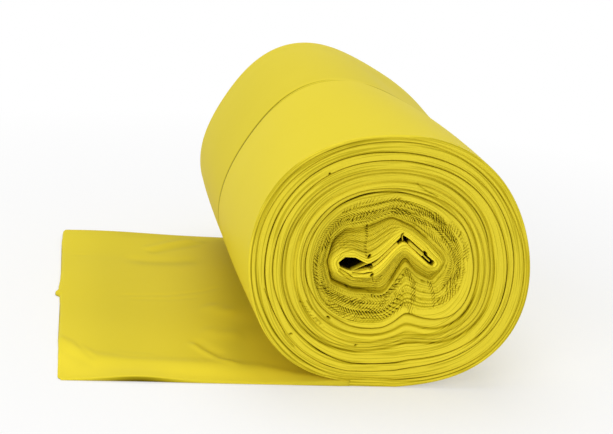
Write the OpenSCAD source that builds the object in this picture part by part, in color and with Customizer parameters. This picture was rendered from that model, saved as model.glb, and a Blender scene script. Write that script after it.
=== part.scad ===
// Bin bag roll: one long web of folded film sacks, wound on itself without a core, its loose end
// lying flat on the floor. Millimetres, Z up. The roll's axis lies along Y, and the loose end runs
// towards minus X. The origin is on the floor, under the middle of the roll.

/* [Roll] */
// Length of the roll, which is the width of the folded web
roll_length = 229; // [200:1:260]
// Mean radius of the outermost turn
roll_radius = 69.3; // [60:0.1:80]
// How much the soft roll has sagged wider than round
roll_sag = 2.9; // [1:0.1:6]
// How far the sagged roll leans over to one side
roll_lean = 0.8; // [0:0.1:3]
// How much the outline is squared off at the front end
front_square = 1.4; // [0:0.1:2.5]
// How much the outline is squared off from halfway to the far end
far_square = 2.5; // [0:0.1:3.5]
// How far the underside is pressed flat on the floor
flat_depth = 0.7; // [0.4:0.1:2]
// How far the far end sits to the side of the front end
far_shift = 2; // [0:0.5:6]
// How far each half of the flank bulges out between an end and the fold line
half_bulge = 0.8; // [0:0.1:3]

/* [Winding] */
// Turns of the web from the centre out
turn_count = 17; // [14:1:18]
// Width of the gap between two neighbouring turns, at the roll's ends
groove_width = 1; // [0.5:0.1:1.6]
// Depth of the gap between two neighbouring turns
groove_depth = 1.7; // [0.8:0.1:3]
// How unevenly the edges of the turns stand out at the ends
turn_stagger = 0.9; // [0:0.1:1.5]
// How far the centre of each end is sunk in
centre_recess = 4.5; // [2:0.5:10]

/* [Collapsed centre] */
// Width of the hollow, from the tip of its left lobe to its right tip
hollow_width = 48; // [40:1:54]
// Height of the hollow, from its lowest point to its peak
hollow_height = 20; // [16:0.5:24]
// How far the middle of the hollow is set to the left of the roll's middle
hollow_shift = 1.5; // [0:0.5:5]
// Height of the hollow's lowest point above the floor
hollow_rise = 59.4; // [54:0.5:66]
// Width of the bundle of tight turns around the hollow
bundle_width = 58.5; // [55:0.5:66]
// Height of the bundle of tight turns around the hollow
bundle_height = 38; // [34:0.5:43]
// How far the bundle reaches below the hollow
bundle_drop = 9.8; // [8:0.1:12]
// How far up the notch under the peak reaches into the bundle
notch_height = 17; // [8:0.5:20]
// Height of the notch's last trace, in the turns halfway out
trace_height = 2.5; // [0:0.1:4]
// Turns that the bundle takes up
bundle_turns = 4; // [3:1:6]

/* [Fold line] */
// Width of the open line between the folded edges
seam_width = 3; // [2:0.2:6]
// Depth of the open line between the folded edges
seam_depth = 0.8; // [0.3:0.1:1.5]

/* [Loose end] */
// Distance from the middle of the roll to the end of the loose web
tail_reach = 158; // [130:1:190]
// Thickness of the folded web where it lies on the floor
tail_thickness = 2.4; // [1.5:0.1:3]
// Angle past the lowest point at which the web leaves the roll
leave_angle = 13; // [8:1:18]
// Height of the soft wrinkles in the loose end
wrinkle_height = 1; // [0:0.1:2]
// How far the torn tag stands out from the edge of the loose end
tag_reach = 3; // [0:0.5:6]
// Distance of the torn tag past the fold line
tag_offset = 4; // [4:1:30]

/* [Hidden] */
stations = 44; // round one turn
tail_steps = 13;
front_corner = 53; // angle of a corner of the squared-off front outline
far_corner = 18;
swelling = 1; // three-sided swelling of the outline
settling = 6; // how soon the last turn stands as far out as the rest
middle_share = 0.62; // size of the outline halfway out
drawn_notch = 17; // how far up the notch reaches in bundle_shape
web_stations = turn_count * stations;
half_length = roll_length / 2;
middle_turn = bundle_turns + (turn_count + 1 - bundle_turns) * 0.42;
tag_place = half_length + tag_offset;
film_colour = [0.87, 0.8, 0.18];

// The hollow: [place round the roll, across, up], place in degrees clockwise from straight down,
// across and up as parts of its width and height
hollow_shape = [
    [0, 0.356, 0.11], [12, 0.281, 0.06], [28, 0.208, 0.02], [52, 0.11, 0.04], [75, 0.027, 0.11],
    [95, 0.002, 0.23], [122, 0.065, 0.375], [143, 0.173, 0.37], [154, 0.252, 0.275],
    [161, 0.31, 0.215], [168, 0.406, 0.36], [175, 0.5, 0.61], [182, 0.594, 0.875], [187, 0.64, 1],
    [200, 0.71, 0.895], [222, 0.815, 0.69], [245, 0.906, 0.51], [262, 0.977, 0.38], [272, 1, 0.295],
    [283, 0.981, 0.22], [296, 0.935, 0.285], [313, 0.848, 0.465], [330, 0.744, 0.685],
    [340, 0.681, 0.805], [345, 0.64, 0.82], [350, 0.585, 0.71], [354, 0.506, 0.48],
    [357, 0.431, 0.24], [360, 0.356, 0.11]
];

// The bundle's outline, set down in the same way
bundle_shape = [
    [0, 0.51, 0], [25, 0.25, 0.01], [55, 0.055, 0.12], [90, 0, 0.38], [118, 0.04, 0.64],
    [140, 0.13, 0.8], [163, 0.31, 0.84], [180, 0.5, 1], [200, 0.69, 0.89], [225, 0.83, 0.73],
    [250, 0.96, 0.56], [270, 1, 0.46], [288, 0.965, 0.32], [310, 0.9, 0.19],
    [330, 0.76, 0.3], [343, 0.66, 0.48], [352, 0.58, 0.2], [360, 0.51, 0]
];

// OUTLINES

function mix(a, b, share) = a + (b - a) * share;
function ramp(value) = let (v = max(0, min(1, value))) v * v * (3 - 2 * v);

// A point of a drawn shape at a place round the roll
function drawn(shape, place) = [
    lookup(place, [for (p = shape) [p[0], p[1]]]),
    lookup(place, [for (p = shape) [p[0], p[2]]])
];

// The round outline before the floor presses on it, about its own middle. The far half is
// squared off along other lines than the front end.
function free_outline(place, y) =
    let (angle = -90 - place,
         far = min(1, y / half_length),
         square = mix(front_square * cos(4 * (angle - front_corner)),
                      far_square * cos(4 * (angle - far_corner)), far),
         radius = roll_radius + roll_sag * cos(2 * angle) - roll_lean * sin(2 * angle)
                - swelling * sin(3 * angle - 20) + square)
    [radius * cos(angle), radius * sin(angle)];

middle_height = -min([for (place = [0:2:358]) free_outline(place, 0)[1]]) - flat_depth;

// The outermost outline, standing on the floor
function outer_outline(place, y) =
    let (p = free_outline(place, y))
    [p[0] - far_shift * y / roll_length, max(0, p[1] + middle_height)];

function hollow_outline(place) =
    let (p = drawn(hollow_shape, place))
    [(p[0] - 0.5) * hollow_width - hollow_shift, hollow_rise + p[1] * hollow_height];

function bundle_outline(place) =
    let (p = drawn(bundle_shape, place),
         notch = max(0, 1 - abs(place - 343) / 20) * (notch_height - drawn_notch))
    [(p[0] - 0.5) * bundle_width - hollow_shift,
     hollow_rise - bundle_drop + p[1] * bundle_height + notch];

// Halfway out the turns are round again, but for a last trace of the notch
function middle_outline(place, y) =
    let (p = outer_outline(place, y),
         trace = trace_height * max(0, 1 - abs(place - 344) / 24))
    [p[0] * middle_share, middle_height + (p[1] - middle_height) * middle_share + trace];

// How many turns lie between halfway out and the outermost outline at a place round the roll.
// Soon after the loose end has left, the last turn stands as far out as it does above it.
function outer_turns(place) =
    let (part = ((place - leave_angle + 360) % 360) / 360,
         most = turn_count + 1 - middle_turn)
    (most - 1 + part) / mix(1 - 1 / most, 1, 1 - pow(1 - part, settling));

// The outline that the web has reached after a number of turns, at a place round the roll
function wound(turn, place, y) =
    turn < bundle_turns
    ? mix(hollow_outline(place), bundle_outline(place), turn / bundle_turns)
    : turn < middle_turn
    ? mix(bundle_outline(place), middle_outline(place, y),
          (turn - bundle_turns) / (middle_turn - bundle_turns))
    : mix(middle_outline(place, y), outer_outline(place, y),
          (turn - middle_turn) / outer_turns(place));

// THE WEB

// Outer edge line of the web at a station, counted from the start of its first turn
function edge_point(station, y) =
    let (turn = station / stations + 1,
         place = (leave_angle + 360 * (station + stations) / stations) % 360)
    wound(turn, place, y);

// How far the turns stand back from the plane of an end; side is 0 in front and 1 behind
function set_back(station, side) =
    let (turn = station / stations,
         sway = sin(360 * 0.37 * turn + 80 * side) + 0.7 * sin(360 * 0.83 * turn + 140 * side)
              + 0.6 * sin(360 * 2.17 * turn))
    centre_recess * (1 - ramp(turn / (turn_count * 0.45)))
    + turn_stagger * (0.5 + sway / 4.6);

function end_place(depth, side) = side == 0 ? depth : roll_length - depth;

// The loose end, from where it leaves the roll to its far edge
leave_low = edge_point(web_stations, 0);
leave_high = edge_point(web_stations - stations, 0);
function tail_x(step) = mix(leave_low[0], -tail_reach, step / tail_steps);

function wrinkle(step, y) =
    let (x = tail_x(step), fade = ramp(step / 3))
    wrinkle_height * fade
    * (0.5 + 0.28 * sin(x * 2.9 + y * 1.1) + 0.22 * sin(x * 1.3 - y * 3.1 + 40));

function tail_top(step, y) =
    [tail_x(step), mix(leave_high[1], tail_thickness, ramp(step / 4)) + wrinkle(step, y)];

// The loose end's edge has a small torn tag just past the fold line: it starts abruptly, and
// beyond its tip the edge runs back slowly
function tag(y) =
    let (past = y - tag_place)
    tag_reach * (past < 0 ? max(0, 1 + past / 3) : max(0, 1 - past / 8, 0.5 - past / 84));

// POINTS, with y counted from the front end

// Rows along the roll's length between its two ends
row_places = [
    3, roll_length * 0.14, roll_length * 0.3, half_length - 14, half_length - seam_width / 2,
    half_length, half_length + seam_width / 2, tag_place, tag_place + 10, roll_length * 0.72,
    roll_length * 0.86, roll_length - 3
];
row_count = len(row_places);

// Each half of the flank bulges and the fold line is sunk in, but not where it is on the floor
function on_flank(p, y) =
    let (out = p - [0, middle_height],
         free = ramp((p[1] - 2) / (middle_height * 0.8)),
         share = 2 * (y % half_length) / half_length - 1,
         bulge = half_bulge * (1 - share * share),
         seam = seam_depth * max(0, 1 - abs(y - half_length) / (seam_width / 2)))
    p + out / norm(out) * free * (bulge - seam);

// Each kind of point has its own block of numbers:
// edge lines in front and behind, two shoulder lines in front and behind, then the rows between
edge_count = web_stations + stations + 1;
web_count = web_stations + tail_steps + 1;
tail_first = 2 * edge_count;
shoulder_first = tail_first + 4 * tail_steps;
flank_first = shoulder_first + 4 * web_count;
top_first = flank_first + (stations + 1) * row_count;
low_first = top_first + tail_steps * row_count;

// Number of an edge point; the first turn's inner edge has stations below zero
function edge_id(station, side) = side * edge_count + station + stations;
function tail_top_id(step, side) = tail_first + side * 2 * tail_steps + step - 1;
function tail_low_id(step, side) = tail_first + (side * 2 + 1) * tail_steps + step - 1;
function shoulder_id(station, side, which) =
    shoulder_first + (side * 2 + which) * web_count + station;
function flank_id(station, row) =
    flank_first + (station - (web_stations - stations)) * row_count + row;
function tail_top_row_id(step, row) = top_first + (step - 1) * row_count + row;
function tail_low_row_id(step, row) = low_first + (step - 1) * row_count + row;

// The two edges of the web at a station, as numbers and as places
function inner_id(station, side) =
    station <= web_stations ? edge_id(station - stations, side)
                            : tail_top_id(station - web_stations, side);
function outer_id(station, side) =
    station <= web_stations ? edge_id(station, side)
                            : tail_low_id(station - web_stations, side);
function inner_place(station, side) =
    station <= web_stations ? edge_point(station - stations, side * roll_length)
                            : tail_top(station - web_stations, side * roll_length);
function outer_place(station, side) =
    station <= web_stations ? edge_point(station, side * roll_length)
                            : [tail_x(station - web_stations), 0];

function edge_depth(station, side) =
    station <= 0 ? set_back(0, side) + groove_depth
    : station < web_stations - stations ? set_back(station, side) + groove_depth
    : set_back(station, side) + groove_width * 0.7;

// Shoulders stand half a gap in from the web's edges, on the plane of the turn
function shoulder_point(station, side, which) =
    let (a = inner_place(station, side), b = outer_place(station, side),
         share = min(0.35, groove_width / 2 / norm(b - a)),
         p = mix(a, b, which == 0 ? share : 1 - share))
    [p[0], end_place(set_back(station, side), side), p[1]];

function at_depth(p, y) = [p[0], y, p[1]];

edge_points = [
    for (side = [0, 1], station = [-stations:web_stations])
        at_depth(edge_point(station, side * roll_length),
                 end_place(edge_depth(station, side), side))
];
tail_edge_points = [
    for (side = [0, 1], low = [0, 1], step = [1:tail_steps])
        let (y = end_place(edge_depth(web_stations, side), side))
        low == 1 ? [tail_x(step), y, 0] : at_depth(tail_top(step, side * roll_length), y)
];
shoulder_points = [
    for (side = [0, 1], which = [0, 1], station = [0:web_stations + tail_steps])
        shoulder_point(station, side, which)
];
flank_points = [
    for (station = [web_stations - stations:web_stations], y = row_places)
        at_depth(on_flank(edge_point(station, y), y), y)
];
tail_top_points = [
    for (step = [1:tail_steps], y = row_places)
        let (p = tail_top(step, y))
        [p[0] - (step == tail_steps ? tag(y) : 0), y, p[1]]
];
tail_low_points = [
    for (step = [1:tail_steps], y = row_places)
        [tail_x(step) - (step == tail_steps ? tag(y) : 0), y, 0]
];

// FACES

function patch(a, b, c, d) = [[a, b, c], [a, c, d]];
function joined(lists) = [for (l = lists, item = l) item];

// A chain of point numbers from the front to the back end
function edge_chain(station) = [edge_id(station, 0), edge_id(station, 1)];
function flank_chain(station) = [
    edge_id(station, 0), each [for (row = [0:row_count - 1]) flank_id(station, row)],
    edge_id(station, 1)
];
function tail_top_chain(step) =
    step == 0 ? flank_chain(web_stations - stations)
    : [tail_top_id(step, 0), each [for (row = [0:row_count - 1]) tail_top_row_id(step, row)],
       tail_top_id(step, 1)];
function tail_low_chain(step) =
    step == 0 ? flank_chain(web_stations)
    : [tail_low_id(step, 0), each [for (row = [0:row_count - 1]) tail_low_row_id(step, row)],
       tail_low_id(step, 1)];

// The strip of faces between two chains of equal length
function strip(a, b) = joined([for (i = [0:len(a) - 2]) patch(a[i], b[i], b[i + 1], a[i + 1])]);

// The ends: groove side, crown and groove side of each stretch of web
end_faces = joined([
    for (side = [0, 1], station = [0:web_stations + tail_steps - 1])
        let (now = [inner_id(station, side), shoulder_id(station, side, 0),
                    shoulder_id(station, side, 1), outer_id(station, side)],
             then = [inner_id(station + 1, side), shoulder_id(station + 1, side, 0),
                     shoulder_id(station + 1, side, 1), outer_id(station + 1, side)])
        side == 0 ? strip(then, now) : strip(now, then)
]);

// The wall of the hollow, and the step where the web starts
hollow_faces = joined([
    for (station = [-stations:-1]) strip(edge_chain(station), edge_chain(station + 1))
]);
start_faces = joined([
    for (which = [0:2])
        let (front = [inner_id(0, 0), shoulder_id(0, 0, 0), shoulder_id(0, 0, 1), outer_id(0, 0)],
             back = [inner_id(0, 1), shoulder_id(0, 1, 0), shoulder_id(0, 1, 1), outer_id(0, 1)])
        patch(back[which], back[which + 1], front[which + 1], front[which])
]);

flank_faces = joined([
    for (station = [web_stations - stations:web_stations - 1])
        strip(flank_chain(station + 1), flank_chain(station))
]);
tail_top_faces = joined([
    for (step = [0:tail_steps - 1]) strip(tail_top_chain(step), tail_top_chain(step + 1))
]);
tail_low_faces = joined([
    for (step = [0:tail_steps - 1]) strip(tail_low_chain(step + 1), tail_low_chain(step))
]);

// The far edge of the loose end: its two rims and the long face between them
last = web_stations + tail_steps;
top_edge = tail_top_chain(tail_steps);
low_edge = tail_low_chain(tail_steps);
rim_front = [shoulder_id(last, 0, 0), shoulder_id(last, 0, 1)];
rim_back = [shoulder_id(last, 1, 0), shoulder_id(last, 1, 1)];
tail_end_faces = joined([
    patch(top_edge[0], rim_front[0], rim_front[1], low_edge[0]),
    strip(top_edge, low_edge),
    patch(top_edge[row_count + 1], low_edge[row_count + 1], rim_back[1], rim_back[0])
]);

module bag_roll() {
    color(film_colour)
        translate([0, -half_length, 0])
            polyhedron(
                points = [
                    each edge_points, each tail_edge_points, each shoulder_points,
                    each flank_points, each tail_top_points, each tail_low_points
                ],
                faces = [
                    each end_faces, each hollow_faces, each start_faces, each flank_faces,
                    each tail_top_faces, each tail_low_faces, each tail_end_faces
                ],
                convexity = 10
            );
}

bag_roll();
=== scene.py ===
"""The bin bag roll's looks: its wound ends with the collapsed centre, its flank and its loose end."""

import math

import bmesh
import bpy
import numpy as np
from mathutils import Matrix, Vector


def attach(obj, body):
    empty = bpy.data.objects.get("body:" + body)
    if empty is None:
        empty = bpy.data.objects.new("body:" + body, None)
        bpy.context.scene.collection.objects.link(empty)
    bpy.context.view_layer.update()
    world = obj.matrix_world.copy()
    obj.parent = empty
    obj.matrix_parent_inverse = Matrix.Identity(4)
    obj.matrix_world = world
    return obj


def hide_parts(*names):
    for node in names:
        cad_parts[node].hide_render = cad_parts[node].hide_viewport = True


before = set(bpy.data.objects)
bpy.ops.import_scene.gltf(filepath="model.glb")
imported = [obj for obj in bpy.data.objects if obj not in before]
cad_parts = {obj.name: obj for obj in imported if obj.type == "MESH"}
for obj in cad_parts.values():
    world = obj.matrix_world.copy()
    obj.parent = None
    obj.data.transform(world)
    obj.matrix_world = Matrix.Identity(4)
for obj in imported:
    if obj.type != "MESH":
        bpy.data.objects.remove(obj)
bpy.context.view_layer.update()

MM = 0.001

# The roll's sizes in millimetres and degrees, the same as in the part's source. In these functions
# y counts from the front end, as it does there, and the meshes are moved back by half the length.
# Places round the roll are degrees clockwise from straight down.
ROLL_LENGTH = 229.0
HALF_LENGTH = ROLL_LENGTH / 2
ROLL_RADIUS = 69.3
ROLL_SAG = 2.9
ROLL_LEAN = 0.8
SWELLING = 1.0
SWELLING_ANGLE = 20.0
FRONT_SQUARE = 1.4
FAR_SQUARE = 2.5
FRONT_CORNER = 53.0
FAR_CORNER = 18.0
FLAT_DEPTH = 0.7
FAR_SHIFT = 2.0
HALF_BULGE = 0.8
TURNS = 17
BUNDLE_TURNS = 4.0
OUTER_RING = TURNS + 1
MIDDLE_RING = BUNDLE_TURNS + (OUTER_RING - BUNDLE_TURNS) * 0.42
MIDDLE_SHARE = 0.62
SETTLING = 6.0
TRACE_HEIGHT = 2.5
TRACE_PLACE = 344.0
TRACE_HALF_WIDTH = 24.0
HOLLOW_WIDTH = 48.0
HOLLOW_HEIGHT = 20.0
HOLLOW_SHIFT = 1.5
HOLLOW_RISE = 59.4
BUNDLE_WIDTH = 58.5
BUNDLE_HEIGHT = 38.0
BUNDLE_DROP = 9.8
TAIL_REACH = 158.0
TAIL_THICKNESS = 2.4
LEAVE_ANGLE = 13.0
TAG_REACH = 3.0
TAG_PLACE = HALF_LENGTH + 4.0

# Only the scene has these: about how far a ring is from the next, and by how many degrees the
# corners of the two drawn outlines are eased
RING_WIDTH = 3.05
HOLLOW_EASE = 1.6
BUNDLE_EASE = 3.0

# The ends: how far they are sunk in at the hollow's edge, at the bundle's rim on its right and on
# its left, and just outside that rim
HOLLOW_SUNK = 2.0
RIGHT_RIM_SUNK = 4.2
LEFT_RIM_SUNK = 7.0
GATHERS_SUNK = 3.6
LEFT_RIM_PLACE = 80.0

# The outermost turn's edge: how far it rounds over, and its single films, darkened with painted shade
RIM_DEPTH = 1.1
RIM_FILMS = (0.9, 2.1)
FILM_HALF_WIDTH = 0.26
FILM_DEPTH = 0.1
FILM_DARK = 0.3

# The line round the bundle's rim, and where it is dark with painted shade: darkness, place, how far
# it reaches to either side, and over how many degrees of that it fades
RIM_LINE_DEPTH = 1.3
RIM_LINE_DARK = 0.8
RIM_SHADES = ((0.75, 75, 105, 50), (0.8, 192, 46, 20), (0.7, 312, 50, 20), (0.95, 345, 15, 8))
RIM_LEAST_DARK = 0.4

# The bundle: its layers and two thin plies near its lip, with painted shade between them, and how the
# lip rounds over, with a painted highlight on it
LAYER_SPACING = 1.05
LAYER_DEPTH = 0.4
LAYER_DARK = 0.4
PLY_PLACES = (1.5, 3.1)
PLY_HALF_WIDTH = 0.22
PLY_DEPTH = 0.2
PLY_DARK = 0.45
LIP_WIDTH = 1.3
LIP_DEPTH = 1.2
LIP_HIGHLIGHT = 0.2

# The gathered turns: the ring numbers where they start and end; strokes once round, how far across
# its band one leans over by a whole stroke, and each band's width in rings and in millimetres; and
# the fine lines in a ring. Strokes and lines are darkened with painted shade
GATHERS_START = 4.3
GATHERS_END = 7.6
STROKES = 150
STROKE_LEAN = 1.15
STROKE_DEPTH = 0.35
STROKE_DARK = 1.15
BAND_RINGS = 1.05
BAND_WIDTH = 2.9
FINE_LINES = 3.9
FINE_LINE_DEPTH = 0.2
FINE_LINE_DARK = 0.42

# A pleat's stroke and the pinhole at its end, and the small openings: depth and darkness of their
# painted shade
PLEAT_DEPTH = 0.9
PLEAT_DARK = 0.68
PINHOLE_DEPTH = 1.5
PINHOLE_DARK = 1.15
VOID_DEPTH = 2.0
VOID_DARK = 1.1

# The gaps between turns: how far one stays inside the next, and the room that they gain away from
# where the web leaves, in rings, over how many degrees
GAP_SPACING = 0.3
LEAVE_ROOM = 1.2
LEAVE_FADE = 60.0

# The flank: its painted shade, and how much more of it there is beyond the fold line; the fold line
# round the middle, a fainter line before it, both also darkened with painted shade, and the
# shoulder's dent beyond it. Their stretches round the roll are a start, the degrees of its rise, an
# end, and the degrees of its fall
FLANK_SHADE = -0.035
FAR_HALF_SHADE = -0.05
FOLD_LINE_DEPTH = 0.3
FOLD_LINE_WANDER = 0.3
FOLD_LINE_LEFT = (60, 20, 158, 12)
SECOND_LINE_DEPTH = 0.25
SECOND_LINE_PLACE = -2.2
SECOND_LINE_STRETCH = (128, 14, 166, 10)
SHOULDER_DENT = 1.7
SHOULDER_STRETCH = (190, 18, 236, 20)

# The loose end: its gap over the floor, the ridge along its front crease, its raised back and front
# with their height, place and half width, and where its front hangs over its own shadow, painted dark
# there as shade
FLOOR_GAP = 0.05
RIDGE_HEIGHT = 0.8
RAISED_BACK = (1.9, -132, 42)
RAISED_FRONT = (2.1, -119, 20)
OVERHANG = (-118, 20)

# Numbers of points: places once round the hollow, of which the pieces round it have two, three and
# four times as many; rows across each piece, or the finest and coarsest step between its rows
HOLLOW_PLACES = 320
BUNDLE_ROWS = 92
GATHERS_ROWS = 76
FAR_BUNDLE_ROWS = 20
FRONT_STEPS = (0.13, 0.45)
FAR_STEPS = (0.2, 0.8)
HALF_FLANK_ROWS = 24
TAIL_COLUMNS = 170
TAIL_ROWS = 110

# Outlines of the hollow and of the tight bundle round it: place round the roll, then across and up
# as parts of its width and height
HOLLOW_SHAPE = np.array([
    (0, 0.356, 0.11), (12, 0.281, 0.06), (28, 0.208, 0.02), (52, 0.11, 0.04), (75, 0.027, 0.11),
    (95, 0.002, 0.23), (122, 0.065, 0.375), (143, 0.173, 0.37), (154, 0.252, 0.275),
    (161, 0.31, 0.215), (168, 0.406, 0.36), (175, 0.5, 0.61), (182, 0.594, 0.875), (187, 0.64, 1),
    (200, 0.71, 0.895), (222, 0.815, 0.69), (245, 0.906, 0.51), (262, 0.977, 0.38), (272, 1, 0.295),
    (283, 0.981, 0.22), (296, 0.935, 0.285), (313, 0.848, 0.465), (330, 0.744, 0.685),
    (340, 0.681, 0.805), (345, 0.64, 0.82), (350, 0.585, 0.71), (354, 0.506, 0.48),
    (357, 0.431, 0.24),
])
BUNDLE_SHAPE = np.array([
    (0, 0.51, 0), (25, 0.25, 0.01), (55, 0.055, 0.12), (90, 0, 0.38), (118, 0.04, 0.64),
    (140, 0.13, 0.8), (163, 0.31, 0.84), (180, 0.5, 1), (200, 0.69, 0.89), (225, 0.83, 0.73),
    (250, 0.96, 0.56), (270, 1, 0.46), (288, 0.965, 0.32), (310, 0.9, 0.19),
    (330, 0.76, 0.3), (343, 0.66, 0.48), (352, 0.58, 0.2),
])

# Gaps between groups of turns on the front end, from the inside out: depth and half width in
# millimetres, darkness of their painted shade, and ring number at every 20 degrees round the roll
FRONT_GAPS = (
    (0.9, 0.26, 0.62, (8.35, 8.32, 8.19, 8.34, 9.04, 9.1, 8.79, 8.87, 9.07,
                       8.78, 8.6, 8.81, 9.21, 9.12, 9.13, 9.25, 8.56, 8.13)),
    (0.8, 0.3, 0.5, (9.11, 9.13, 9.25, 9.57, 9.95, 9.98, 9.72, 9.64, 9.58,
                     9.4, 9.32, 9.65, 10.04, 10.06, 9.97, 10.1, 9.5, 8.93)),
    (0.5, 0.5, 0.2, (9.88, 10.24, 10.49, 10.67, 11.0, 10.95, 10.6, 10.45, 10.45,
                     10.5, 10.45, 10.5, 10.9, 11.05, 11.0, 11.1, 10.27, 9.52)),
    (0.5, 0.35, 0.42, (10.9, 11.25, 11.77, 12.07, 12.31, 12.26, 11.95, 11.84, 11.89,
                       11.87, 11.74, 11.83, 12.13, 11.9, 11.85, 12.0, 11.25, 10.25)),
    (0.5, 0.42, 0.4, (11.46, 11.82, 12.3, 12.62, 12.78, 12.71, 12.5, 12.48, 12.45,
                      12.44, 12.32, 12.44, 12.67, 12.45, 12.42, 12.53, 11.84, 10.9)),
    (0.9, 0.25, 0.66, (13.96, 13.77, 13.4, 13.66, 14.15, 14.07, 13.8, 13.89, 13.95,
                       13.9, 13.77, 13.96, 14.24, 14.42, 14.38, 14.27, 13.8, 13.71)),
    (0.9, 0.22, 0.72, (15.26, 15.24, 15.01, 14.97, 15.3, 15.23, 15.14, 15.25, 15.31,
                       15.19, 15.07, 15.2, 15.44, 15.5, 15.32, 15.17, 14.85, 14.95)),
    (0.6, 0.3, 0.42, (16.66, 16.4, 16.1, 16.25, 16.6, 16.68, 16.53, 16.52, 16.79,
                      16.86, 16.65, 16.39, 16.58, 16.99, 17.06, 17.05, 16.93, 16.86)),
    (0.5, 0.34, 0.32, (17.2, 16.9, 16.8, 16.9, 17.3, 17.33, 17.25, 17.23, 17.43,
                       17.46, 17.13, 16.98, 17.12, 17.45, 17.47, 17.45, 17.4, 17.4)),
)
# How far the turns between two neighbouring gaps stand back, from the inside out; turns further back
# get painted shade
FRONT_SET_BACKS = (0.2, 0.9, -0.1, 0.9, 1.3, 0.25, 0.05, 0.55, 0.35, 0.1)

# The same for the far end, whose gaps run evenly round
FAR_GAPS = tuple(
    (depth, 0.3, dark, (ring,) * 18)
    for ring, depth, dark in ((6.1, 0.9, 0.6), (8.0, 0.7, 0.4), (9.6, 0.9, 0.6), (11.4, 0.6, 0.4),
                              (13.1, 0.9, 0.6), (14.7, 0.6, 0.4), (16.2, 0.8, 0.5)))
FAR_SET_BACKS = (0.3, 0.8, 0.2, 0.7, 0.1, 0.6, 0.3, 0.1)

# Rows of short slanted pleats on the front end: points (x, z), slant, length, spacing, strength
PLEAT_ROWS = (
    (((-0.1, 91.0), (9.9, 91.4), (19.3, 90.4), (24.8, 86.9)), 48, 4.2, 1.6, 1.0),
    (((7.5, 88.0), (15.1, 86.0), (24.8, 82.6), (31, 78.0)), 48, 3.0, 1.5, 1.0),
    (((27.1, 87), (33.4, 81.5), (37, 75), (38, 69)), 40, 3.4, 1.6, 0.9),
    (((25.4, 78.4), (28.6, 74.7), (32, 70), (34.6, 64.3)), 40, 2.8, 1.6, 0.9),
    (((-22, 85.8), (-13.7, 89.9), (-4.8, 92.2), (4.8, 95.9)), -35, 3.6, 2.0, 0.8),
    (((-33.4, 70.2), (-30.8, 78.9), (-26.8, 85.6)), -45, 2.8, 1.7, 0.8),
    (((-25.4, 90.3), (-17.9, 95.3), (-8.9, 98.0), (1, 98.6)), -40, 2.8, 1.8, 0.7),
    (((-31.2, 49.5), (-35.5, 53.2), (-37, 60.8), (-36.6, 68)), -45, 3.0, 1.7, 0.8),
    (((-12.6, 43.4), (-19.3, 44.6), (-26.9, 46.8), (-33.7, 51.9)), -52, 4.6, 2.1, 1.1),
    (((-0.1, 47.7), (-3.6, 46.1), (-11, 45.8)), 50, 2.4, 1.6, 0.9),
    (((-5.6, 38.2), (-15.6, 36), (-21.4, 38.2), (-28.3, 42.9)), -50, 4.4, 1.8, 0.8),
    (((6.6, 54.7), (1.7, 48.7), (-1.3, 41.8), (-8.4, 38.6)), 42, 2.8, 1.7, 1.0),
    (((-2.9, 56.5), (-5.3, 51.5), (-6.2, 47.5)), 30, 3.0, 1.3, 0.7),
    (((13.8, 46.1), (13.3, 53.9), (9.4, 60.6)), 55, 3.0, 1.5, 1.0),
    (((7.0, 46.0), (12.0, 43.5), (13.4, 40.5)), 50, 4.0, 1.5, 0.6),
    (((24.6, 43.6), (23.5, 50.4), (21.2, 55.2)), 45, 2.6, 1.6, 0.8),
    (((36.8, 62.5), (33.5, 57.5), (29.3, 52.5)), -50, 4.0, 1.8, 0.9),
    (((35.5, 53.8), (31.6, 48.7), (27.7, 45.7)), -50, 4.0, 1.8, 0.8),
    (((-12.1, 68.3), (-12.4, 73.0), (-12.1, 78.0), (-13.0, 82.9)), -18, 2.0, 1.25, 1.1),
    (((-42.3, 44.0), (-36.5, 37.0), (-30.0, 31.6)), -38, 2.2, 2.2, 0.7),
)

# Edges of folded film on the front end: points (x, z), half width and depth; the deeper ones get more
# painted shade
CREASES = (
    (((-24.6, 61.0), (-21.7, 59.6), (-17.4, 56.6), (-8.4, 55.6)), 0.3, 0.8),
    (((-25.2, 59.9), (-18.3, 54.6), (-11.5, 53.5), (-6.6, 52.9)), 0.3, 0.6),
    (((-22.6, 58.3), (-17.8, 56.0), (-14.0, 54.9), (-8.0, 54.5)), 0.25, 0.4),
    (((-18.0, 59.2), (-12.5, 58.8), (-8.4, 59.8)), 0.3, 0.9),
    (((-8.0, 57.6), (-7.2, 55.6), (-6.2, 53.4)), 0.3, 0.6),
    (((-61.1, 50.1), (-55.4, 38.0), (-49.7, 28.7), (-48.3, 25.6), (-44.0, 20.6)), 0.2, 0.7),
    (((-39.7, 44.7), (-36.6, 40.2)), 0.3, 0.8),
    (((-34.6, 36.2), (-31.6, 33.4)), 0.3, 0.9),
    (((8.8, 106.0), (13.5, 103.0), (19.3, 100.3)), 0.3, 0.7),
)

# Small openings on the front end, dark with painted shade: x, z, half length, half width, angle
VOIDS = (
    (-10.5, 67.9, 1.2, 0.6, 50), (4.6, 79.6, 1.2, 0.5, 60), (17.4, 70.6, 1.5, 0.55, -48),
    (-9.1, 61.9, 1.1, 0.8, 30), (-8.2, 58.3, 1.1, 0.75, 50), (-10.4, 59.4, 1.6, 0.35, 10),
    (21.6, 66.2, 0.9, 0.6, -30), (-46.1, 27.2, 0.8, 0.4, 20), (-13.0, 21.8, 0.6, 0.4, 10),
    (-28.0, 35.9, 1.1, 0.55, -35), (-34.4, 109.1, 0.6, 0.45, 0),
)

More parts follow.
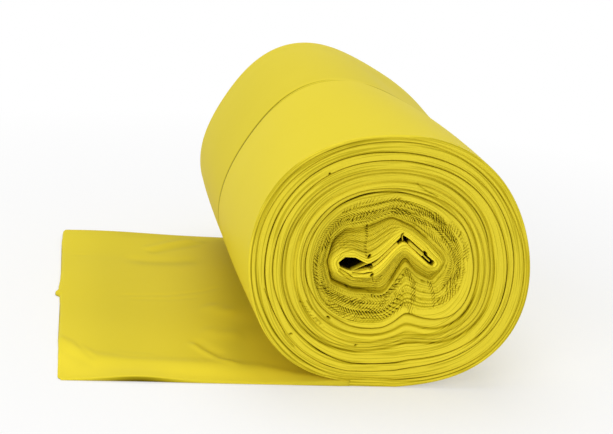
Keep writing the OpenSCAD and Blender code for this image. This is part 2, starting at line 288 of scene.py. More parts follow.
# Film that lies folded inside the hollow: points (x, z), thickness, and how far in it starts
INNER_FOLDS = (
    (((-8.9, 64.9), (-12.4, 63.4), (-15.6, 61.7), (-18.6, 59.9), (-14.2, 60.6), (-10.6, 61.3),
      (-8.2, 60.9)), 0.3, 2.6),
    (((-8.2, 63.0), (-6.2, 64.5), (-3.0, 68.2), (0.3, 72.0), (3.0, 74.8)), 1.5, 2.6),
    (((8.6, 75.6), (10.6, 74.0), (12.8, 72.3), (15.8, 69.9)), 1.6, 1.0),
    (((15.8, 69.9), (17.8, 68.2), (19.8, 66.6)), 0.6, 2.0),
    (((4.8, 79.4), (5.4, 76.4)), 0.3, 3.0),
)

# The crease along the loose end's front: in front of it the film slopes down to its edge
FRONT_CREASE = np.array([
    (-158, 47.8), (-139.5, 24.4), (-121, 19.6), (-103, 18.4), (-75, 17.7), (-56.6, 15.2),
    (-40, 6.6), (-17, 2.0),
])

# Soft wrinkles in the loose end: points (x, y), half width, height
WRINKLES = (
    (((-109, 197), (-91.5, 211), (-75, 222)), 3.5, 0.55),
    (((-106, 191), (-88, 203), (-70, 214)), 3.0, -0.45),
    (((-122, 180), (-105, 176), (-88, 177), (-76, 181)), 6.0, -0.5),
    (((-128, 114.2), (-97, 118), (-77.4, 126), (-66, 135)), 1.3, -0.22),
    (((-122, 109.7), (-97.5, 110.3), (-78, 116.5)), 1.2, -0.2),
    (((-91, 47), (-86.6, 37.6), (-78, 24), (-66, 17)), 2.2, 0.7),
    (((-88, 52), (-82, 38), (-74, 28)), 3.5, -0.5),
    (((-150, 43), (-145, 31.3), (-139, 19.6)), 1.5, -0.35),
    (((-132, 31), (-121, 28), (-108, 27)), 2.0, 0.2),
    (((-154, 182), (-138, 184)), 1.2, -0.15),
    (((-78, 105), (-70, 96), (-60, 92)), 7.0, 0.7),
    (((-84, 66), (-74, 60), (-60, 60)), 7.0, 0.5),
)

# Painted shade and painted light on the loose end's film: points (x, y), half width, how much; darker
# in the roll's shade and along wrinkles, lighter along its front
TAIL_PAINTED_SHADING = (
    (((-109, 173), (-94, 173), (-80, 178)), 6.0, -0.07),
    (((-104, 193), (-90, 204), (-70, 216)), 3.0, -0.07),
    (((-118, 224), (-80, 226)), 7.0, -0.05),
    (((-66, 20), (-66, 48), (-60, 70)), 9.0, -0.1),
    (((-58, 110), (-52, 160), (-52, 215)), 12.0, -0.08),
    (((-158, 26), (-150, 10), (-120, 9), (-80, 8), (-50, 5)), 9.0, 0.12),
)


def ramp(value):
    """0 below 0 and 1 above 1, with a smooth rise between."""
    share = np.clip(value, 0, 1)
    return share * share * (3 - 2 * share)


def notch(distance, width):
    """A rounded groove's share of its depth, 1 in its middle."""
    return np.exp(-(distance / width) ** 2)


def apart(place, other):
    """Degrees between two places round the roll, the shorter way."""
    return np.abs((place - other + 180) % 360 - 180)


def round_about(place, middle, reach, fade):
    """1 near a place round the roll, falling to 0 over the last degrees of its reach."""
    return ramp((reach - apart(place, middle)) / fade)


def stretch(place, start, rise, end, fall):
    """1 from one place round the roll to another, easing in and out over some degrees."""
    return ramp((place - start) / rise) * (1 - ramp((place - end) / fall))


def wave(values, seed):
    """A smooth random wave along a running number, about one swing a unit."""
    count = 4000
    source = np.random.default_rng(seed).normal(size=count)
    at = np.clip(values, 0, count - 2)
    low = np.floor(at).astype(int)
    share = ramp(at - low)
    return source[low] * (1 - share) + source[low + 1] * share


def round_wave(place, swings, seed):
    """A smooth random wave that closes round the roll."""
    phases = np.random.default_rng(seed).uniform(0, 360, size=3)
    angle = place * swings
    total = np.sin(np.radians(angle + phases[0]))
    total = total + 0.7 * np.sin(np.radians(2 * angle + phases[1]))
    return (total + 0.5 * np.sin(np.radians(3 * angle + phases[2]))) / 2.2


def between(before, start, end, after, share):
    """A smooth curve's value at a share of the way from its start to its end."""
    cubic = 3 * (start - end) + after - before
    cubic = 2 * before - 5 * start + 4 * end - after + share * cubic
    return start + 0.5 * share * (end - before + share * cubic)


def round_curve(values, place):
    """A smooth closed curve through values given at equal steps round the roll."""
    values = np.array(values, float)
    at = (place % 360) / 360 * len(values)
    low = np.floor(at).astype(int)
    four = [values[(low + step) % len(values)] for step in (-1, 0, 1, 2)]
    return between(*four, at - low)


def smooth_line(line, steps):
    """More points along a line, rounded at its corners."""
    points = np.array(line, float)
    before = 2 * points[:1] - points[1:2]
    after = 2 * points[-1:] - points[-2:-1]
    padded = np.concatenate([before, points, after])
    result = []
    for four in zip(padded, padded[1:], padded[2:], padded[3:]):
        result += [between(*four, share) for share in np.linspace(0, 1, steps, endpoint=False)]
    return np.array(result + [points[-1]])


# Outlines


def drawn(shape, place, ease):
    """Points of a drawn shape at places round the roll, its corners eased over a few degrees."""
    total = 0
    weights = 0
    for step in np.linspace(-2, 2, 9):
        weight = math.exp(-step * step / 1.4)
        near = (place + step * ease) % 360
        x = np.interp(near, shape[:, 0], shape[:, 1], period=360)
        z = np.interp(near, shape[:, 0], shape[:, 2], period=360)
        total = total + weight * np.stack([x, z], -1)
        weights += weight
    return total / weights


def free_outline(place, y):
    """The roll's outline about its own middle, before the floor presses on it."""
    angle = np.radians(-90 - place)
    far = np.clip(y / HALF_LENGTH, 0, 1)
    square = (1 - far) * FRONT_SQUARE * np.cos(4 * (angle - math.radians(FRONT_CORNER)))
    square = square + far * FAR_SQUARE * np.cos(4 * (angle - math.radians(FAR_CORNER)))
    radius = (ROLL_RADIUS + ROLL_SAG * np.cos(2 * angle) - ROLL_LEAN * np.sin(2 * angle)
              - SWELLING * np.sin(3 * angle - math.radians(SWELLING_ANGLE)) + square)
    return np.stack([radius * np.cos(angle), radius * np.sin(angle)], -1)


MIDDLE_HEIGHT = -free_outline(np.arange(0.0, 360.0, 2.0), 0.0)[:, 1].min() - FLAT_DEPTH


def outer_outline(place, y):
    """The outermost outline, standing on the floor."""
    free = free_outline(place, y)
    x = free[..., 0] - FAR_SHIFT * y / ROLL_LENGTH
    return np.stack([x, np.maximum(free[..., 1] + MIDDLE_HEIGHT, 0)], -1)


def hollow_outline(place):
    """The edge of the hollow in the roll's centre."""
    share = drawn(HOLLOW_SHAPE, place, HOLLOW_EASE)
    return np.stack([(share[..., 0] - 0.5) * HOLLOW_WIDTH - HOLLOW_SHIFT,
                     HOLLOW_RISE + share[..., 1] * HOLLOW_HEIGHT], -1)


def bundle_outline(place):
    """The rim of the tight bundle of turns round the hollow."""
    share = drawn(BUNDLE_SHAPE, place, BUNDLE_EASE)
    return np.stack([(share[..., 0] - 0.5) * BUNDLE_WIDTH - HOLLOW_SHIFT,
                     HOLLOW_RISE - BUNDLE_DROP + share[..., 1] * BUNDLE_HEIGHT], -1)


def middle_outline(place, y):
    """The outline halfway out: round again, but for a last trace of the bundle's notch."""
    outer = outer_outline(place, y)
    trace = TRACE_HEIGHT * np.maximum(0, 1 - apart(place, TRACE_PLACE) / TRACE_HALF_WIDTH)
    z = MIDDLE_HEIGHT + (outer[..., 1] - MIDDLE_HEIGHT) * MIDDLE_SHARE + trace
    return np.stack([outer[..., 0] * MIDDLE_SHARE, z], -1)


def ring_points(ring, place, y):
    """Points on closed rings round the roll, from 0 at the hollow's edge to 18 at the outside."""
    ring = ring[..., None]
    in_bundle = np.clip(ring / BUNDLE_TURNS, 0, 1)
    to_middle = np.clip((ring - BUNDLE_TURNS) / (MIDDLE_RING - BUNDLE_TURNS), 0, 1)
    to_outside = np.clip((ring - MIDDLE_RING) / (OUTER_RING - MIDDLE_RING), 0, 1)
    inner, tight = hollow_outline(place), bundle_outline(place)
    middle, outer = middle_outline(place, y), outer_outline(place, y)
    return (inner + (tight - inner) * in_bundle + (middle - tight) * to_middle
            + (outer - middle) * to_outside)


def last_ring(place):
    """Ring number of the roll's outside, which is a turn further in where the web leaves."""
    return OUTER_RING - (1 - (place - LEAVE_ANGLE) / 360) ** SETTLING


def near_line(points, line):
    """For each point its distance from a line, how far along that is, and its signed distance."""
    nearest = np.full(points.shape[:-1], 1e9)
    along = np.zeros(nearest.shape)
    side = np.zeros(nearest.shape)
    start = 0.0
    for a, b in zip(np.array(line[:-1]), np.array(line[1:])):
        step = b - a
        length = math.hypot(*step)
        share = np.clip((points - a) @ step / length ** 2, 0, 1)
        gap = points - (a + share[..., None] * step)
        distance = np.linalg.norm(gap, axis=-1)
        across = (step[0] * (points - a)[..., 1] - step[1] * (points - a)[..., 0]) / length
        closer = distance < nearest
        nearest = np.where(closer, distance, nearest)
        along = np.where(closer, start + share * length, along)
        side = np.where(closer, across, side)
        start += length
    return nearest, along, side


# Meshes


def add_object(name, data):
    """A new object in the scene."""
    added = bpy.data.objects.new(name, data)
    bpy.context.scene.collection.objects.link(added)
    return added


def grid_mesh(name, points, flip=False, **values):
    """A mesh of a grid of points in millimetres, with values at each for the material, such as its
    painted shade and painted light.
    """
    rows, cols = points.shape[:2]
    index = np.arange(rows * cols).reshape(rows, cols)
    faces = np.stack([index[:-1, :-1], index[1:, :-1], index[1:, 1:], index[:-1, 1:]], -1)
    faces = faces.reshape(-1, 4)
    if flip:
        faces = faces[:, ::-1]
    placed = (points.reshape(-1, 3) - (0, HALF_LENGTH, 0)) * MM
    mesh = bpy.data.meshes.new(name)
    mesh.from_pydata(placed.tolist(), [], faces.tolist())
    # Among these values are the painted shade and the painted light and shade that the material puts
    # on the film
    for title in ("cavity", "layer", "rough", "tone"):
        spread = np.broadcast_to(values.get(title, 0.0), (rows, cols)).astype(np.float32)
        mesh.attributes.new(title, "FLOAT", "POINT").data.foreach_set("value", spread.ravel())
    joined = bmesh.new()
    joined.from_mesh(mesh)
    bmesh.ops.remove_doubles(joined, verts=joined.verts, dist=0.002 * MM)
    joined.to_mesh(mesh)
    joined.free()
    mesh.shade_smooth()
    return add_object(name, mesh)


def capped(grid):
    """A grid whose columns are closed loops, with both its ends drawn together to a point."""
    first, last = (np.broadcast_to(loop[:-1].mean(axis=0), loop.shape)[:, None]
                   for loop in (grid[:, 0], grid[:, -1]))
    return np.concatenate([first, grid, last], axis=1)


# Wound ends


def places(count):
    """Places once round the roll, starting and ending where the web leaves it."""
    return LEAVE_ANGLE + 360 * np.linspace(0, 1, count + 1)


def gap_lines(gaps, place):
    """Ring numbers of the gaps round the roll, kept inside the turn that the web leaves from."""
    lines = []
    for order, gap in enumerate(gaps):
        from_outside = len(gaps) - order
        room = LEAVE_ROOM * ramp(apart(place, LEAVE_ANGLE) / LEAVE_FADE)
        limit = TURNS - GAP_SPACING * from_outside + room
        lines.append(np.minimum(round_curve(gap[3], place), limit))
    return lines


def even_rows(first, last, count, place):
    """Even rows of ring numbers between two rings."""
    return np.linspace(first, last, count)[:, None] + 0 * place


def rows_between(inner, outer, fine, coarse):
    """Rows of ring numbers from one line to the next, close together beside both."""
    width = np.mean(outer - inner) * RING_WIDTH
    near = np.array([0, 1, 2, 3.2, 5]) * fine
    near = near[near < width * 0.45]
    count = max(2, int((width - 2 * near[-1]) / coarse) + 2)
    middle = np.linspace(near[-1], width - near[-1], count)
    shares = np.unique(np.round(np.concatenate([near, middle, width - near]) / width, 5))
    return inner + (outer - inner) * shares[:-1, None]


def gap_rows(gaps, place, first, fine, coarse):
    """Rows of ring numbers from a ring out to the roll's outside, along every gap."""
    edges = [np.full(len(place), first)] + gap_lines(gaps, place)
    blocks = [rows_between(a, b, fine, coarse) for a, b in zip(edges, edges[1:])]

    # The outermost turn's rows, close together beside its gap and at its rim
    shares = np.array([0, 0.05, 0.1, 0.16, 0.25, 0.35, 0.45, 0.55, 0.65, 0.74, 0.82, 0.88, 0.93,
                       0.97, 1])
    blocks.append(edges[-1] + (last_ring(place) - edges[-1]) * shares[:, None])
    return np.concatenate(blocks)


def sunk_back(ring, place, inset):
    """How far the ends are sunk in: most at the bundle's rim, least outside."""
    left = 0.5 + 0.5 * np.cos(np.radians(place - LEFT_RIM_PLACE))
    at_rim = RIGHT_RIM_SUNK + (LEFT_RIM_SUNK - RIGHT_RIM_SUNK) * left
    towards_rim = ramp((inset - 3.0) / 5.5)
    bundle = HOLLOW_SUNK + (at_rim - HOLLOW_SUNK) * towards_rim
    round_turns = GATHERS_SUNK * (1 - ramp((ring - BUNDLE_TURNS) / 5.4))
    outside = ramp((ring - BUNDLE_TURNS) / 0.5)
    return bundle * (1 - outside) + round_turns * outside


def rim_shade(place):
    """How much painted shade the bundle's rim has round the roll."""
    shades = [dark * round_about(place, middle, reach, fade)
              for dark, middle, reach, fade in RIM_SHADES]
    return np.maximum.reduce(shades + [np.full(place.shape, RIM_LEAST_DARK)])


def pleats(points, row):
    """A row of short slanted strokes, with a pinhole at the outer end of each, both sunk and darkened
    with painted shade.
    """
    line, slant, length, spacing, strength = row
    nearest, along, side = near_line(points, line)
    half = length / 2
    inside = ramp((half - nearest) / 0.6)
    leaned = along + side * math.tan(math.radians(slant))
    seed = int(abs(line[0][0]) * 10) + 3
    uneven = 0.2 * wave(leaned / spacing * 0.7 + 40, seed)
    beat = np.maximum(0, np.cos(2 * math.pi * (leaned / spacing + uneven)))
    level = strength * (0.75 + 0.25 * wave(leaned / spacing * 0.4 + 40, seed + 1))
    stroke = inside * beat ** 2 * level
    pinhole = inside * beat ** 3 * level * notch(side + half * 0.45, 0.5)
    return (PLEAT_DEPTH * stroke + PINHOLE_DEPTH * pinhole,
            np.maximum(PLEAT_DARK * stroke, PINHOLE_DARK * pinhole))


def front_marks(points):
    """What only the end seen first has: pleats, creases and small openings in the film, sunk and
    darkened with painted shade.
    """
    depth = np.zeros(points.shape[:-1])
    cavity = np.zeros(points.shape[:-1])
    for row in PLEAT_ROWS:
        sunk, dark = pleats(points, row)
        depth = depth + sunk
        cavity = np.maximum(cavity, dark)
    for line, width, sunk in CREASES:
        nearest, _, _ = near_line(points, line)
        groove = notch(nearest, width)
        depth = depth + sunk * groove
        cavity = np.maximum(cavity, groove * min(1, sunk / 1.3))
    for x, z, half_length, half_width, angle in VOIDS:
        cosine, sine = math.cos(math.radians(angle)), math.sin(math.radians(angle))
        away = points - (x, z)
        along = (away[..., 0] * cosine + away[..., 1] * sine) / half_length
        across = (away[..., 1] * cosine - away[..., 0] * sine) / half_width
        hole = np.exp(-(along * along + across * across) ** 2)
        depth = depth + VOID_DEPTH * hole
        cavity = np.maximum(cavity, VOID_DARK * hole)
    return depth, cavity


def turn_edges(ring, place, gaps, set_backs):
    """Depth, painted shade and painted light of the round turns: how far each group stands back, and
    the gaps.
    """
    back = np.full(ring.shape, set_backs[0])
    depth = 0.08 * round_wave(place, 5, 31)
    cavity = np.zeros(ring.shape)
    for gap, line, step in zip(gaps, gap_lines(gaps, place), np.diff(set_backs)):
        sunk, half, dark, _ = gap
        distance = (ring - line) * RING_WIDTH
        level = 0.9 + 0.25 * round_wave(place, 2, int(dark * 100 + sunk * 10))
        back = back + step * ramp(distance / 0.9 + 0.5)
        depth = depth + level * (sunk * notch(distance, half) + 0.12 * notch(distance, 1.0))
        cavity = np.maximum(cavity, 1.15 * dark * level * notch(distance, half))
    shown = ramp((ring - BUNDLE_TURNS - 0.5) / 2)
    # Painted light on the lower part of the end; groups that stand back get painted shade
    lit = 0.08 * round_about(place, 350, 85, 60)
    return (depth + back) * shown, cavity * shown, (lit - 0.05 * back) * shown


def hatching(ring, place):
    """Depth and painted shade of the fine slanted strokes on the gathered turns round the bundle."""
    zone = ramp((ring - GATHERS_START) / 0.4) * (1 - ramp((ring - GATHERS_END + 0.4) / 0.6))
    at = (ring - GATHERS_START) / BAND_RINGS + 0.3 * round_wave(place, 2, 71)
    band = np.floor(at)
    across = (at - band) * BAND_WIDTH
    lean = np.where(band % 2 == 0, 1.0, -1.0) * across / STROKE_LEAN
    uneven = 0.25 * round_wave(place, 9, 72)
    beat = 0.5 + 0.5 * np.cos(2 * math.pi * (place * STROKES / 360 + lean + uneven))
    patches = round_wave(place + 50 * ring, 3, 73) + round_wave(place - 80 * ring, 4, 74)
    smooth = round_about(place, 322, 30, 14)
    strength = zone * (0.62 + 0.38 * np.clip(patches, -1, 1)) * (1 - 0.75 * smooth)
    pinhole = beat ** 4 * notch(across - 0.4, 0.5) * ramp(patches * 1.5 + 0.15)
    pinhole = pinhole * zone * (1 - smooth)
    layers = ring * FINE_LINES + 0.2 * round_wave(place, 4, 75)
    layers = 0.5 + 0.5 * np.cos(2 * math.pi * layers)
    lines = zone * (0.45 + 0.3 * smooth) * layers ** 3
    depth = STROKE_DEPTH * strength * beat ** 1.5 + pinhole + FINE_LINE_DEPTH * lines
    return depth, np.maximum.reduce([STROKE_DARK * strength * beat ** 4, pinhole,
                                     FINE_LINE_DARK * lines])


def bundle_edges(ring, place, inset):
    """Depth, painted shade and painted light of the bundle: its layers, the line round its rim and
    its lip.
    """
    layered = ramp(inset - 3.9) * (1 - ramp((ring - BUNDLE_TURNS + 0.2) / 0.3))
    beat = inset / LAYER_SPACING + 0.15 * round_wave(place, 3, 8)
    beat = 0.5 + 0.5 * np.cos(2 * math.pi * beat)
    strong = layered * (0.8 + 0.35 * round_about(place, 128, 34, 12))
    out = (ring - BUNDLE_TURNS) * 2.2
    line, wide = notch(out, 0.42), notch(out + 0.5, 2.2)
    # The layers, the rim line and a wide band about it are darkened with painted shade
    shade = rim_shade(place)
    depth = LAYER_DEPTH * strong * beat ** 2 + RIM_LINE_DEPTH * line * shade
    cavity = np.maximum.reduce([LAYER_DARK * strong * beat ** 3, RIM_LINE_DARK * line * shade,
                                0.3 * wide * shade])

    # Two thin plies near the lip, darkened with painted shade; the lip has a painted highlight and
    # rounds over into the hollow, and the layered part is painted a little darker
    near, further = PLY_PLACES
    plies = np.maximum(notch(inset - near - 0.35 * round_wave(place, 3, 9), PLY_HALF_WIDTH),
                       notch(inset - further - 0.4 * round_wave(place, 4, 10), PLY_HALF_WIDTH))
    plies = plies * (0.65 + 0.35 * round_wave(place, 3, 11)) * (1 - layered)
    bend = np.clip(1 - inset / LIP_WIDTH, 0, 1)
    depth = depth + PLY_DEPTH * plies + LIP_DEPTH * (1 - np.sqrt(1 - bend ** 2))
    cavity = np.maximum(cavity, PLY_DARK * plies)
    return depth, cavity, LIP_HIGHLIGHT * (1 - ramp((inset - 3.2) / 1.8)) - 0.02 * layered


def rim_edge(ring, place, gaps):
    """The outermost turn's edge: how far it has rounded over, and where its single films show."""
    outside = last_ring(place)
    room = (outside - gap_lines(gaps, place)[-1]) * RING_WIDTH
    from_rim = (outside - ring) * RING_WIDTH
    bend = np.clip(1 - from_rim / np.minimum(RIM_DEPTH, room * 0.9), 0, 1)
    films = np.maximum.reduce([notch(from_rim - at, FILM_HALF_WIDTH) for at in RIM_FILMS])
    return bend, films * ramp((room - 2) / 2)


def end_surface(side, ring, place, gaps, set_backs):
    """Points of an end at ring numbers in rows and places in columns, and their painted shade and
    painted light.

    The front end is side 0 and the far end side 1.
    """
    flat = ring_points(ring, place, side * ROLL_LENGTH)
    inset = np.linalg.norm(flat - hollow_outline(place), axis=-1)
    depth, cavity, tone = turn_edges(ring, place, gaps, set_backs)
    sunk, dark, lip = bundle_edges(ring, place, inset)
    depth = depth + sunk + sunk_back(ring, place, inset)
    marks = [cavity, dark]
    if side == 0:
        for sunk, dark in (hatching(ring, place), front_marks(flat)):
            depth = depth + sunk
            marks.append(dark)
    cavity = np.maximum.reduce(marks)
    bend, films = rim_edge(ring, place, gaps)
    keep = 1 - ramp(bend * 2)
    depth = depth * keep + RIM_DEPTH * (1 - np.sqrt(1 - bend ** 2)) + FILM_DEPTH * films
    rough = ramp((ring - BUNDLE_TURNS + 0.1) / 0.4) * (1 - ramp((ring - 7.0) / 1.1))
    y = depth if side == 0 else ROLL_LENGTH - depth
    points = np.stack([flat[..., 0], y, flat[..., 1]], -1)
    # The painted shade, with the single films' painted shade, and the painted light and shade
    return points, {"cavity": np.maximum(cavity * keep, FILM_DARK * films), "layer": ring,
                    "rough": rough * (1 - side), "tone": (tone + lip) * keep}


# Flank


def flank_rows(count):
    """Places along the roll, close together at the ends and by the fold line."""
    ends = np.array([RIM_DEPTH, 1.8, 2.8, 4.5])
    seam = np.array([-7, -4, -3.3, -2.9, -2.5, -2.2, -1.9, -1.6, -1.3, -1, -0.7, -0.45, -0.2, 0,
                     0.2, 0.45, 0.7, 1, 1.5, 2.2, 3.2, 4.4, 6])
    body = np.concatenate([np.linspace(7, HALF_LENGTH - 10, count),
                           np.linspace(HALF_LENGTH + 9, ROLL_LENGTH - 7, count)])
    return np.unique(np.concatenate([ends, ROLL_LENGTH - ends, HALF_LENGTH + seam, body]))


def fold_lines(place, y):
    """The fold line round the middle, the fainter one before it, and how high the film is there.

    All fade out at the roll's top, and the fold line is wider where the flank turns away from it.
    """
    left = stretch(place, *FOLD_LINE_LEFT)
    beyond = ramp((place - 211) / 14)
    right = ramp((place - 181) / 8) * (1 - 0.6 * beyond)
    turned_left = ramp((168 - place) / 45) * left
    turned_right = 0.8 * ramp((place - 183) / 12) * (1 - beyond)
    turned = np.maximum(turned_left, turned_right)
    wander = FOLD_LINE_WANDER * np.sin(np.radians(place * 3))
    off = y - HALF_LENGTH - wander
    line = notch(off, np.where(off > 0, 0.5 + 1.2 * turned, 0.45 + 0.6 * turned))
    line = line * (0.06 + 0.94 * np.maximum(left, right))
    second = notch(y - HALF_LENGTH - SECOND_LINE_PLACE + wander, 0.45)
    second = second * stretch(place, *SECOND_LINE_STRETCH)
    before = HALF_LENGTH - y
    step = 0.12 * left * ramp(before / 1.2 + 0.5) * (1 - ramp(before / 16))
    return line, second, step


def shoulder_dent(place, y):
    """How far the right shoulder is set in beyond the fold line."""
    beyond = y - HALF_LENGTH
    along = ramp(beyond / 11) * (1 - ramp((beyond - 45) / 60))
    return SHOULDER_DENT * stretch(place, *SHOULDER_STRETCH) * along


def flank_row(place, y):
    """A line of the roll's outside at a distance along it, and the painted shade along its fold
    lines.
    """
    outline = ring_points(last_ring(place), place, y)
    out = outline - (0, MIDDLE_HEIGHT)
    out = out / np.linalg.norm(out, axis=-1, keepdims=True)
    off_floor = ramp((outline[:, 1] - 2) / (MIDDLE_HEIGHT * 0.8))
    share = 2 * (y % HALF_LENGTH) / HALF_LENGTH - 1
    bulge = HALF_BULGE * (1 - share * share)
    place = place % 360
    ripple = 0.12 * round_wave(place, 2, 4) * math.sin(math.radians(y * 1.9))
    ripple = ripple + 0.08 * round_wave(place, 4, 5) * math.cos(math.radians(y * 3.1))
    line, second, step = fold_lines(place, y)
    move = bulge + ripple * min(1, y / 10) + step - shoulder_dent(place, y)
    move = off_floor * (move - FOLD_LINE_DEPTH * line - SECOND_LINE_DEPTH * second)
    x, z = (outline + out * move[:, None]).T
    points = np.stack([x, np.full(len(x), y), np.maximum(z, 0)], -1)
    return points, np.maximum(line, 0.5 * second) * off_floor


def outer_wrap(name, place, front_edge, far_edge, count):
    """The roll's outside, from the rim of its front end to that of its far end."""
    along = flank_rows(count)
    rows = [flank_row(place, y) for y in along]
    grid = [front_edge] + [points for points, _ in rows[1:-1]] + [far_edge]
    # Painted shade: the whole flank a little darker, more so beyond the fold line
    tone = FLANK_SHADE + FAR_HALF_SHADE * ramp((along - HALF_LENGTH) / 6)
    return grid_mesh(name, np.array(grid), flip=True, tone=tone[:, None],
                     cavity=np.array([dark for _, dark in rows]))


# Hollow centre


def hollow_wall(name, first, last):
    """The inside of the hollow, from the front end's edge to the far end's."""
    shares = np.array([0, 0.004, 0.01, 0.02, 0.04, 0.08, 0.16, 0.32, 0.5, 0.68, 0.84, 0.92, 0.96,
                       0.98, 0.99, 0.996, 1])
    grid = first + (last - first) * shares[:, None, None]
    inward = np.minimum(shares, 1 - shares) * ROLL_LENGTH
    # Painted shade, growing deeper further into the hollow from either end
    cavity = (0.25 + 0.85 * ramp(inward / 4.5))[:, None]
    return grid_mesh(name, grid, cavity=cavity)


def inner_fold(name, line, thickness, start):
    """A sheet of film inside the hollow, closed all round, running in from near the front end."""
    middle = smooth_line(line, 8)
    along = np.gradient(middle, axis=0)
    along = along / np.linalg.norm(along, axis=-1, keepdims=True)
    across = np.stack([-along[:, 1], along[:, 0]], -1)
    half = thickness / 2

    # Once round the sheet's section, over its rounded front edge: how far in, and on which side
    section = ((36, -1), (5, -1), (2.5, -1), (1.2, -1), (half, -1), (half * 0.3, -0.7), (0, 0),
               (half * 0.3, 0.7), (half, 1), (1.2, 1), (2.5, 1), (5, 1), (36, 1), (36, -1))
    grid = []
    for inward, side in section:
        x, z = (middle + across * half * side).T
        grid.append(np.stack([x, np.full(len(x), start + inward), z], -1))
    grid = capped(np.array(grid))
    # Painted shade, growing deeper further in from the sheet's front edge
    cavity = 0.1 + 0.9 * ramp((grid[..., 1] - start - 0.5) / 4)
    return grid_mesh(name, grid, flip=True, cavity=cavity)


# Loose end


def relief(x, y):
    """Height of the loose end's top over its own underside."""
    crease = np.interp(x, FRONT_CREASE[:, 0], FRONT_CREASE[:, 1])
    past = y - crease
    front = 0.35 + 0.65 * np.clip(y / crease, 0, 1)
    ridge = np.where(past < 0, ramp(1 + past / 14), 1 - 0.75 * ramp(past / 9))
    height = TAIL_THICKNESS * front + RIDGE_HEIGHT * ridge
    points = np.stack([x, y], -1)
    for line, half, rise in WRINKLES:
        nearest, along, _ = near_line(points, line)
        total = sum(math.dist(a, b) for a, b in zip(line, line[1:]))
        taper = ramp(along / 8 + 0.15) * ramp((total - along) / 8 + 0.15)
        height = height + rise * taper * notch(nearest, half)
    return height + 0.12 * (np.sin(np.radians(x * 2.9 + y * 1.1))
                            + np.sin(np.radians(x * 1.3 - y * 3.1 + 40)))


def lift(x, y):
    """How far the loose end's underside stands off the floor: most at its raised edges."""
    back_rise, back_place, back_half = RAISED_BACK
    back = back_rise * notch(x - back_place, back_half) * ramp((y - 180) / 48)
    front_rise, front_place, front_half = RAISED_FRONT
    front = front_rise * notch(x - front_place, front_half) * (1 - ramp(y / 18))
    return FLOOR_GAP + back + front


def tag(y):
    """How far the small torn tag stands out of the loose end's edge."""
    past = y - TAG_PLACE
    beyond = np.maximum(np.clip(1 - past / 8, 0, 1), np.clip(0.5 - past / 84, 0, 1))
    return TAG_REACH * np.where(past < 0, np.clip(1 + past / 3, 0, 1), beyond)


def torn_edge(y):
    """How far the loose end's edge stands out: its tag, its unevenness and its rounded corners."""
    ragged = 0.16 * wave(y / 16, 51) + 0.05 * wave(y / 2.5, 52)
    corners = 1.6 * notch(y, 2.0) + 0.8 * notch(y - ROLL_LENGTH, 2.0)
    return tag(y) + ragged - corners


def tail_places(start, columns, rows):
    """The loose end's columns along x from its start and its rows along y, closer at its edges."""
    edge_x = np.array([1.8, 1.0, 0.5, 0.2, 0]) - TAIL_REACH
    x = np.concatenate([np.linspace(start, 3 - TAIL_REACH, columns), edge_x])
    near = np.array([0, 0.1, 0.3, 0.6, 1.0, 1.6, 2.4, 3.6, 5])
    body = np.linspace(6.5, ROLL_LENGTH - 6.5, rows)
    return np.meshgrid(x, np.concatenate([near, body, ROLL_LENGTH - near[::-1]]))


def tail_shading(x, y, height, side_edge, overhang):
    """Painted light and shade of the loose end: paler where it faces back, darker to the right, to
    the back and along the listed patches, with painted shade under its raised front.
    """
    facing = np.gradient(height, axis=0) / np.gradient(y, axis=0)
    tone = 0.5 * np.clip(facing, -0.2, 0.2) * (1 - side_edge) - 0.04
    tone = tone - 0.08 * ramp((x + 156) / 30) - 0.05 * ramp((y - 40) / 60)
    for line, half, change in TAIL_PAINTED_SHADING:
        nearest, _, _ = near_line(np.stack([x, y], -1), line)
        tone = tone + change * notch(nearest, half)
    dark = overhang * (1 - ramp((y - 0.25) / 0.4))
    tone = np.concatenate([tone, tone[::-1], tone[:1]])
    dark = np.concatenate([0.6 * dark, 0.9 * dark[::-1], 0.6 * dark[:1]])
    with_caps = [0, *range(x.shape[1]), -1]
    return tone[:, with_caps], dark[:, with_caps]


def loose_end(name, columns, rows):
    """The web's free end: a thin folded band lying on the floor, closed all round."""
    leave_x, leave_height = ring_points(last_ring(places(1))[:1], places(1)[:1], 0.0)[0]
    x, y = tail_places(leave_x + 5, columns, rows)
    from_roll = np.clip((leave_x - x) / (leave_x + TAIL_REACH), 0, 1)
    settled = ramp(from_roll * 5)
    side_edge = np.clip(1 - np.minimum(y, ROLL_LENGTH - y), 0, 1)
    end_edge = np.clip(1 - (x + TAIL_REACH) / 1.6, 0, 1)
    thick = leave_height * (1 - settled) + relief(x, y) * settled
    thick = thick * (0.25 + 0.75 * np.sqrt(1 - side_edge ** 2))
    thick = thick * (0.15 + 0.85 * np.sqrt(1 - end_edge ** 2))
    low = lift(x, y) * settled
    x = x - torn_edge(y) * ramp((from_roll - 0.9) / 0.1)
    inward = 0.2 + 0.3 * (1 - ramp(from_roll * 30)) + 1.2 * ramp((x - leave_x) / 2)
    y = HALF_LENGTH + (y - HALF_LENGTH) * (1 - inward / HALF_LENGTH)
    top = np.stack([x, y, low + thick], -1)
    middle, half = OVERHANG
    overhang = notch(x - middle, half)
    recess = 0.5 * overhang * (1 - ramp(y / 8))
    under = FLOOR_GAP + (low - FLOOR_GAP) * ramp(y / 60)
    bottom = np.stack([x, y + recess, under], -1)
    loop = np.concatenate([top, bottom[::-1], top[:1]])
    # Painted light and shade on the top, and painted shade under the raised front
    tone, dark = tail_shading(x, y, low + thick, side_edge, overhang)
    return grid_mesh(name, capped(loop), tone=tone, cavity=dark)


